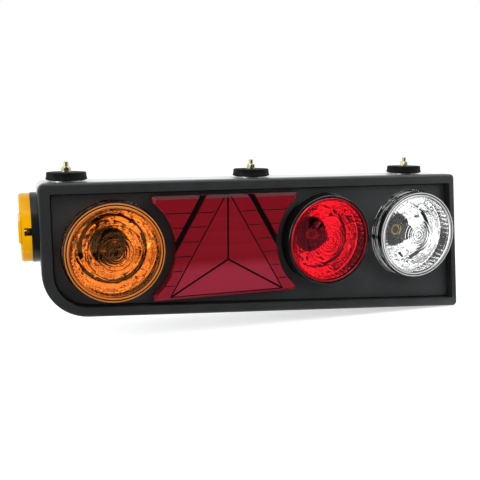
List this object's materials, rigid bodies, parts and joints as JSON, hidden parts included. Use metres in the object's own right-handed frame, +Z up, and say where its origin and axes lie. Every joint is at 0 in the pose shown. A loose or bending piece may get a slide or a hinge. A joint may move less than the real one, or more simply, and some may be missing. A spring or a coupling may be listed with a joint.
{
  "type": "trailer tail light cluster",
  "caption": "Long trailer rear lamp with round indicator, stop and reversing lamps, a central red tail lens with a triangle reflector, and an amber side marker.",
  "frame": {"origin": "on the centre mount bolt's axis, at the top face of its rubber buffer", "axes": "+X along the lamp towards the reversing lamp, +Y from the lenses to the back, +Z up along the mount bolts"},
  "size_m": [0.6168, 0.115, 0.221],
  "materials": {
    "frame_black": "black moulded plastic, fine grain, satin",
    "plate_black": "black moulded plastic, satin",
    "housing_pale": "pale grey moulded plastic, smooth",
    "seal_rubber": "black rubber",
    "buffer_rubber": "black rubber, moulded",
    "lens_amber": "clear amber moulded plastic",
    "lens_red": "clear red moulded plastic",
    "lens_clear": "clear moulded plastic",
    "tail_red": "deep red moulded plastic",
    "marker_amber": "amber moulded plastic",
    "reflector_silver": "vacuum-metallised moulded plastic",
    "tray_silver": "vacuum-metallised moulded plastic",
    "bulb_glass": "clear glass",
    "bulb_brass": "bare brass",
    "body_black": "black moulded plastic",
    "divider_black": "black moulded plastic",
    "marker_base_black": "black moulded plastic, satin",
    "zinc_steel": "zinc-plated steel",
    "yellow_zinc": "yellow-passivated zinc-plated steel",
    "gland_black": "black moulded plastic",
    "block_cream": "cream moulded plastic"
  },
  "bodies": {
    "root": {"front_frame": "frame_black", "lamp_plate": "plate_black", "housing_seal": "seal_rubber", "rear_housing": "housing_pale", "frame_screws": "zinc_steel", "indicator_lens": "lens_amber", "indicator_seal": "seal_rubber", "indicator_reflector": "reflector_silver", "indicator_bulb": "bulb_glass", "indicator_bulb_cap": "bulb_brass", "indicator_bulb_holder": "body_black", "indicator_body": "body_black", "stop_lens": "lens_red", "stop_seal": "seal_rubber", "stop_reflector": "reflector_silver", "stop_bulb": "bulb_glass", "stop_bulb_cap": "bulb_brass", "stop_bulb_holder": "body_black", "stop_body": "body_black", "reversing_lens": "lens_clear", "reversing_seal": "seal_rubber", "reversing_reflector": "reflector_silver", "reversing_bulb": "bulb_glass", "reversing_bulb_cap": "bulb_brass", "reversing_bulb_holder": "body_black", "reversing_body": "body_black", "lamp_screws": "zinc_steel", "tail_lens": "tail_red", "tail_seal": "seal_rubber", "triangle_reflector": "tail_red", "tail_dividers": "divider_black", "tail_tray": "tray_silver", "tail_bulbs": "bulb_glass", "tail_bulb_caps": "bulb_brass", "tail_bulb_holders": "body_black", "tray_screws": "zinc_steel", "marker_base": "marker_base_black", "marker_lens": "marker_amber", "marker_bulb": "bulb_glass", "marker_bulb_holder": "body_black", "marker_screws": "zinc_steel", "left_buffer": "buffer_rubber", "centre_buffer": "buffer_rubber", "right_buffer": "buffer_rubber", "buffer_plates": "zinc_steel", "mount_bolts": "yellow_zinc", "inner_washers": "zinc_steel", "mount_washers": "yellow_zinc", "mount_nuts": "yellow_zinc", "gland_body": "gland_black", "gland_nut": "gland_black", "gland_seal": "seal_rubber", "terminal_block": "block_cream", "terminal_screws": "yellow_zinc"}
  },
  "joints": []
}
